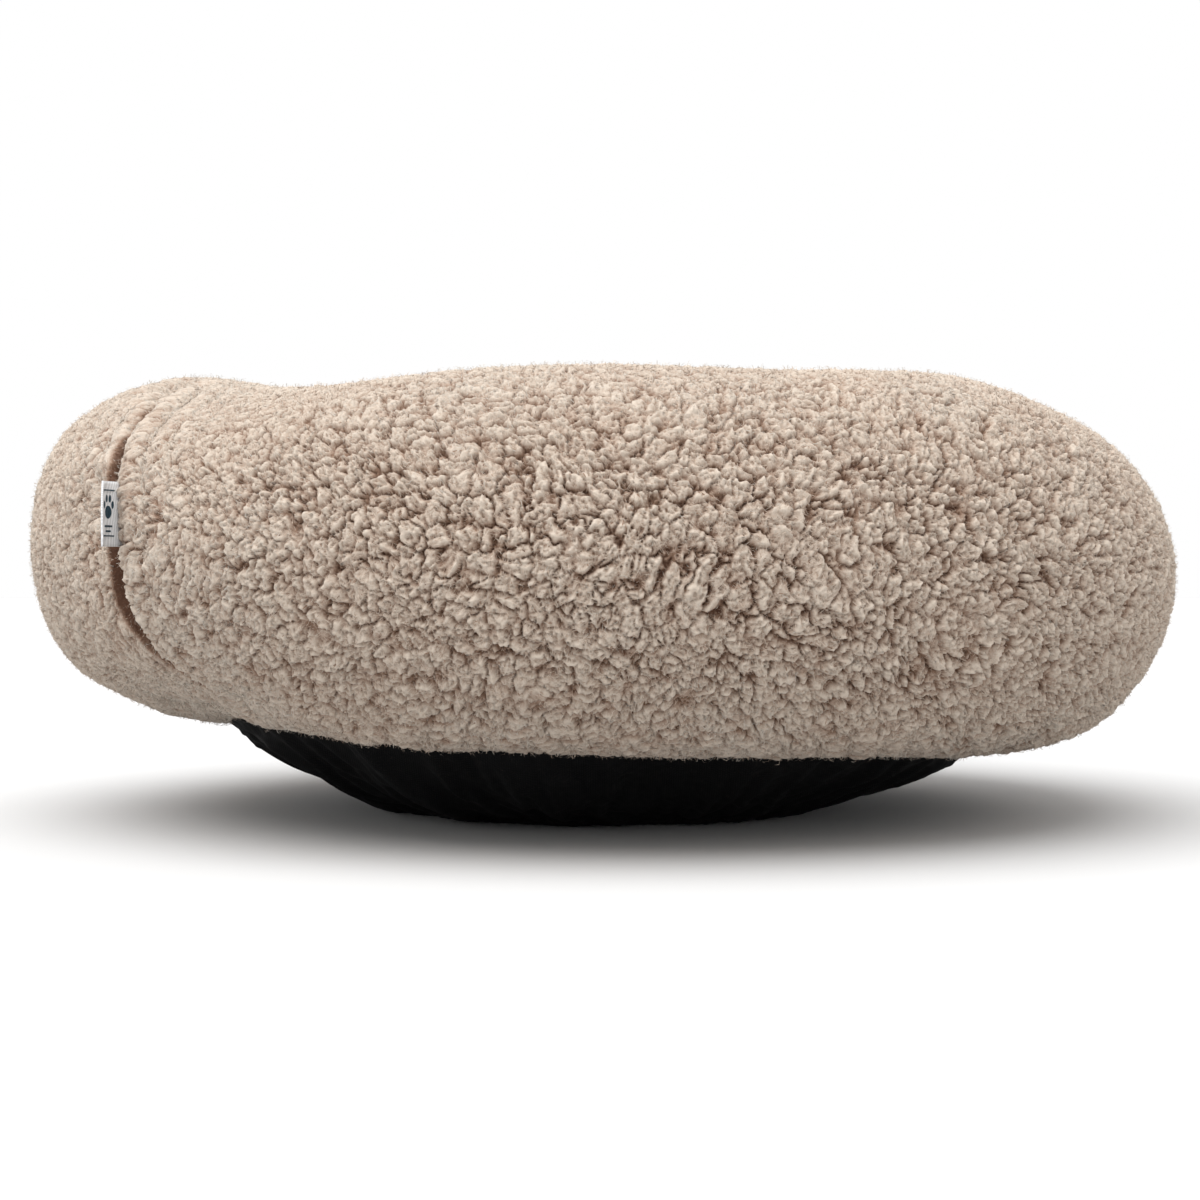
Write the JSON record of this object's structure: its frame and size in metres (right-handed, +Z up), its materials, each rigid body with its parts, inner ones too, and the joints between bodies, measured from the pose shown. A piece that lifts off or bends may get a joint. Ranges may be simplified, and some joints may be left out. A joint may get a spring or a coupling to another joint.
{
  "type": "pet cushion bed",
  "caption": "Round pet bed: a stuffed teddy-fleece ring sewn onto a round base cushion with a woven black underside.",
  "frame": {"origin": "middle of the patch of the base that rests on the floor", "axes": "+Z up along the bed's round axis, front towards -Y, +X to the right seen from the front"},
  "size_m": [0.4999, 0.5, 0.184],
  "materials": {
    "teddy_fleece": "matte",
    "fibre_filling": "matte",
    "seam_allowance": "matte",
    "black_woven": "matte",
    "label_ribbon": "satin",
    "black_thread": "matte"
  },
  "bodies": {
    "root": {"ring_cover": "teddy_fleece", "ring_filling": "fibre_filling", "ring_cross_seam": "seam_allowance", "ring_long_seam": "seam_allowance", "cushion_top_panel": "teddy_fleece", "cushion_filling": "fibre_filling", "base_panel": "black_woven", "base_seam": "seam_allowance", "side_label": "label_ribbon", "care_label": "label_ribbon", "closing_stitches": "black_thread"}
  },
  "joints": []
}
